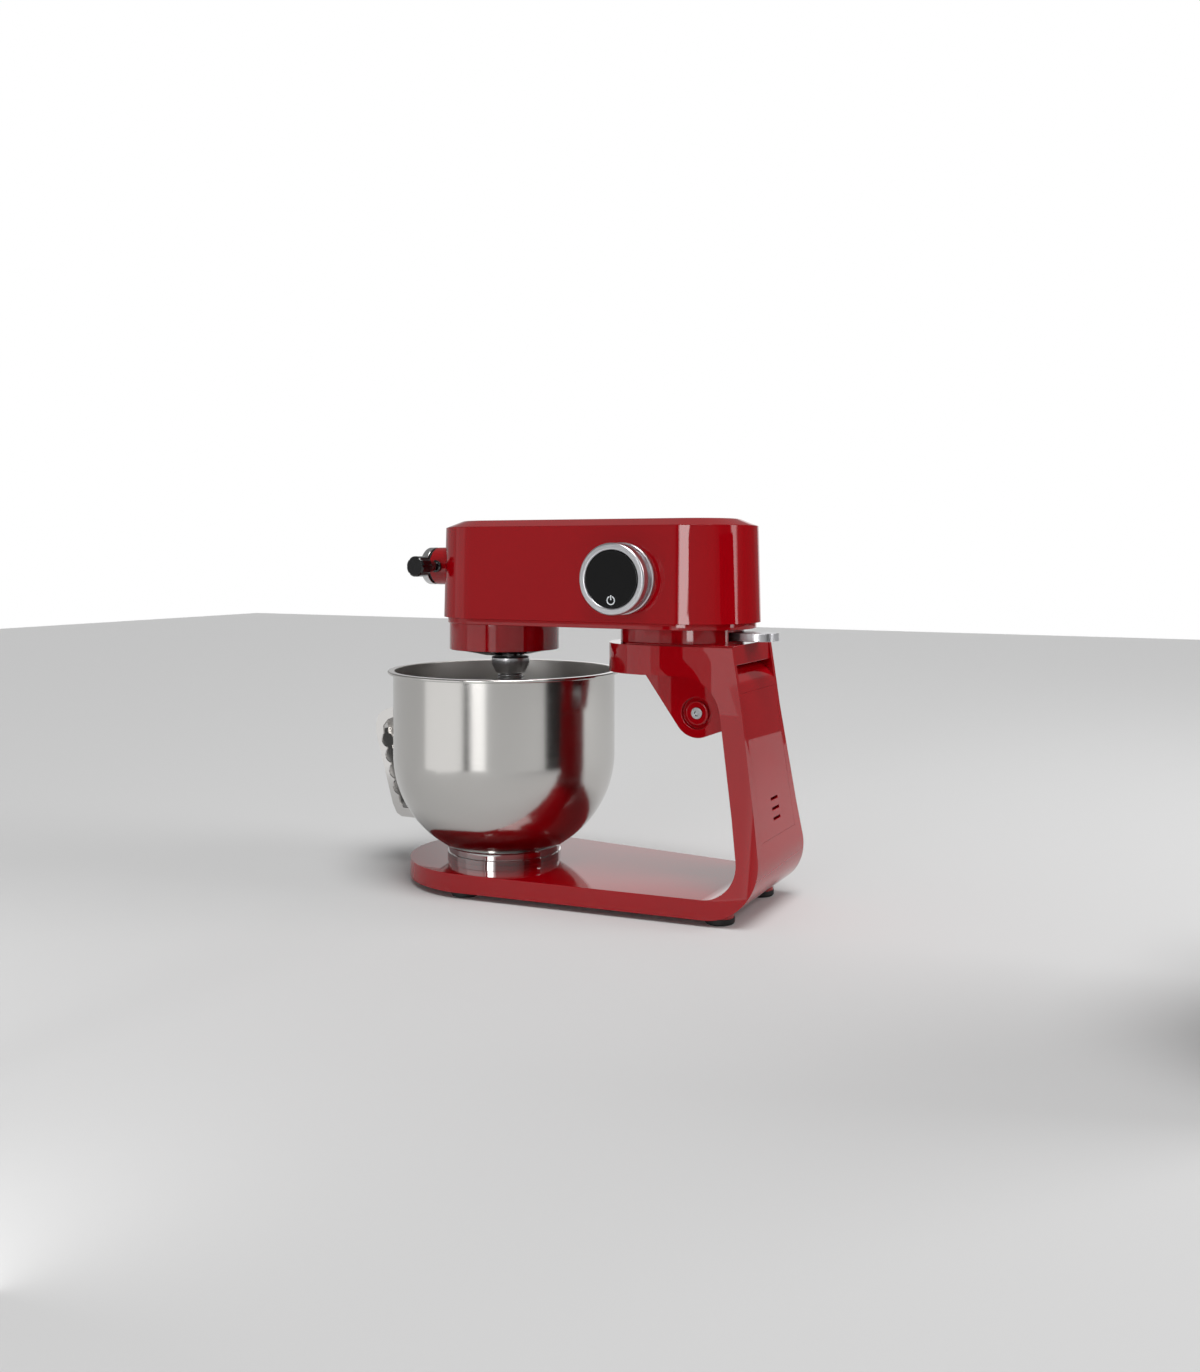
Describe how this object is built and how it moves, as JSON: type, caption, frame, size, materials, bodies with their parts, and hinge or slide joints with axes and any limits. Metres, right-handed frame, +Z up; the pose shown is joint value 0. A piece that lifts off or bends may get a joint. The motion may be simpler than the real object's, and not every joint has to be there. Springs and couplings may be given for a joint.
{
  "type": "stand mixer",
  "caption": "Tilt-head stand mixer with a bent band frame, a long rounded head, a steel bowl with a side handle, a control knob and a front accessory outlet.",
  "frame": {"origin": "middle of the footprint, handle tip to the back of the bend, on the counter", "axes": "+X to the rear, from bowl to column; -Y is the side with the control knob; +Z up"},
  "size_m": [0.4284, 0.2254, 0.3465],
  "materials": {
    "red_paint": "deep gloss red paint over cast metal",
    "black_plastic": "black moulded plastic",
    "foot_rubber": "matt black rubber",
    "belt_rubber": "black toothed belt rubber",
    "satin_steel": "satin stainless steel",
    "steel": "turned steel",
    "satin_silver": "satin silver metal",
    "bronze": "sintered bronze",
    "circuit_board": "green circuit board",
    "black_glass": "black glossy display window",
    "white_plastic": "white print",
    "aluminium_cast": "cast aluminium",
    "polished_steel": "polished stainless steel",
    "chrome_plate": "bright chrome plate",
    "brushed_bowl": "stainless steel with fine brushing round it"
  },
  "bodies": {
    "stand": {"base_frame": "red_paint", "bottom_cover": "black_plastic", "back_cover": "red_paint", "foot_front_left": "foot_rubber", "foot_front_right": "foot_rubber", "foot_rear_left": "foot_rubber", "foot_rear_right": "foot_rubber", "bowl_clamp_plate": "satin_steel", "clamp_plate_screws": "steel", "hinge_tongue": "satin_silver", "hinge_bush": "bronze", "cord_gland": "black_plastic"},
    "head": {"tilt_arm": "red_paint", "hinge_shaft": "steel", "hinge_cap_left": "red_paint", "hinge_cap_right": "red_paint", "hinge_screws": "steel", "lever_pin": "steel", "head_shell": "red_paint", "top_cover": "red_paint", "lower_tray": "red_paint", "main_bearing_lower": "steel", "main_bearing_upper": "steel", "motor_bracket": "steel", "motor_can": "steel", "motor_bush_lower": "bronze", "motor_bush_upper": "bronze", "drive_belt": "belt_rubber", "control_board": "circuit_board", "board_standoffs": "bronze", "knob_bezel": "satin_silver", "display_post": "black_plastic", "display_glass": "black_glass", "power_icon": "white_plastic", "outlet_tube": "red_paint", "outlet_gasket": "foot_rubber", "ring_gear": "steel"},
    "carrier": {"planet_carrier": "black_plastic", "main_shaft": "steel", "drive_pulley": "aluminium_cast", "beater_bush": "bronze"},
    "beater": {"planet_pinion": "steel", "beater_shaft": "steel", "tool_collar": "satin_silver", "dough_hook": "polished_steel", "hook_pin": "steel"},
    "rotor": {"motor_shaft": "steel", "motor_pulley": "steel", "motor_rotor": "steel"},
    "knob": {"knob_ring": "satin_silver"},
    "lever": {"release_lever": "satin_silver"},
    "thumb": {"thumb_screw": "black_plastic"},
    "outlet_plug": {"outlet_cap": "chrome_plate"},
    "bowl_body": {"bowl": "brushed_bowl", "bowl_foot_ring": "chrome_plate", "bowl_handle": "polished_steel"}
  },
  "joints": [
    {"name": "head_tilt", "type": "hinge", "parent": "stand", "child": "head", "pos_m": [0.15175, 0, 0.1765], "axis": [0, 1, 0], "range_deg": [0, 35]},
    {"name": "carrier_spin", "type": "hinge", "parent": "head", "child": "carrier", "pos_m": [-0.06925, 0, 0.24], "axis": [0, 0, 1], "continuous": true},
    {"name": "beater_spin", "type": "hinge", "parent": "carrier", "child": "beater", "pos_m": [-0.05228, -0.01697, 0.22], "axis": [0, 0, 1], "continuous": true},
    {"name": "motor_spin", "type": "hinge", "parent": "head", "child": "rotor", "pos_m": [0.09575, 0, 0.27], "axis": [0, 0, 1], "continuous": true},
    {"name": "knob_turn", "type": "hinge", "parent": "head", "child": "knob", "pos_m": [0.08675, -0.07, 0.293], "axis": [0, -1, 0], "continuous": true},
    {"name": "lever_swing", "type": "hinge", "parent": "head", "child": "lever", "pos_m": [0.16475, 0, 0.241], "axis": [0, 0, 1], "range_deg": [0, 25], "stiffness_Nm_per_rad": 0.15},
    {"name": "thumb_screw_turn", "type": "hinge", "parent": "head", "child": "thumb", "pos_m": [-0.13625, -0.03, 0.3025], "axis": [0, -1, 0], "continuous": true},
    {"name": "outlet_cap_pull", "type": "slide", "parent": "head", "child": "outlet_plug", "axis": [-1, 0, 0], "range_m": [0, 0.03]},
    {"name": "bowl_twist", "type": "hinge", "parent": "stand", "child": "bowl_body", "pos_m": [-0.06925, 0, 0.0225], "axis": [0, 0, 1], "range_deg": [0, 25]}
  ],
  "couplings": [
    {"joint": "beater_spin", "follows": "carrier_spin", "ratio": -3},
    {"joint": "motor_spin", "follows": "carrier_spin", "ratio": 5}
  ]
}
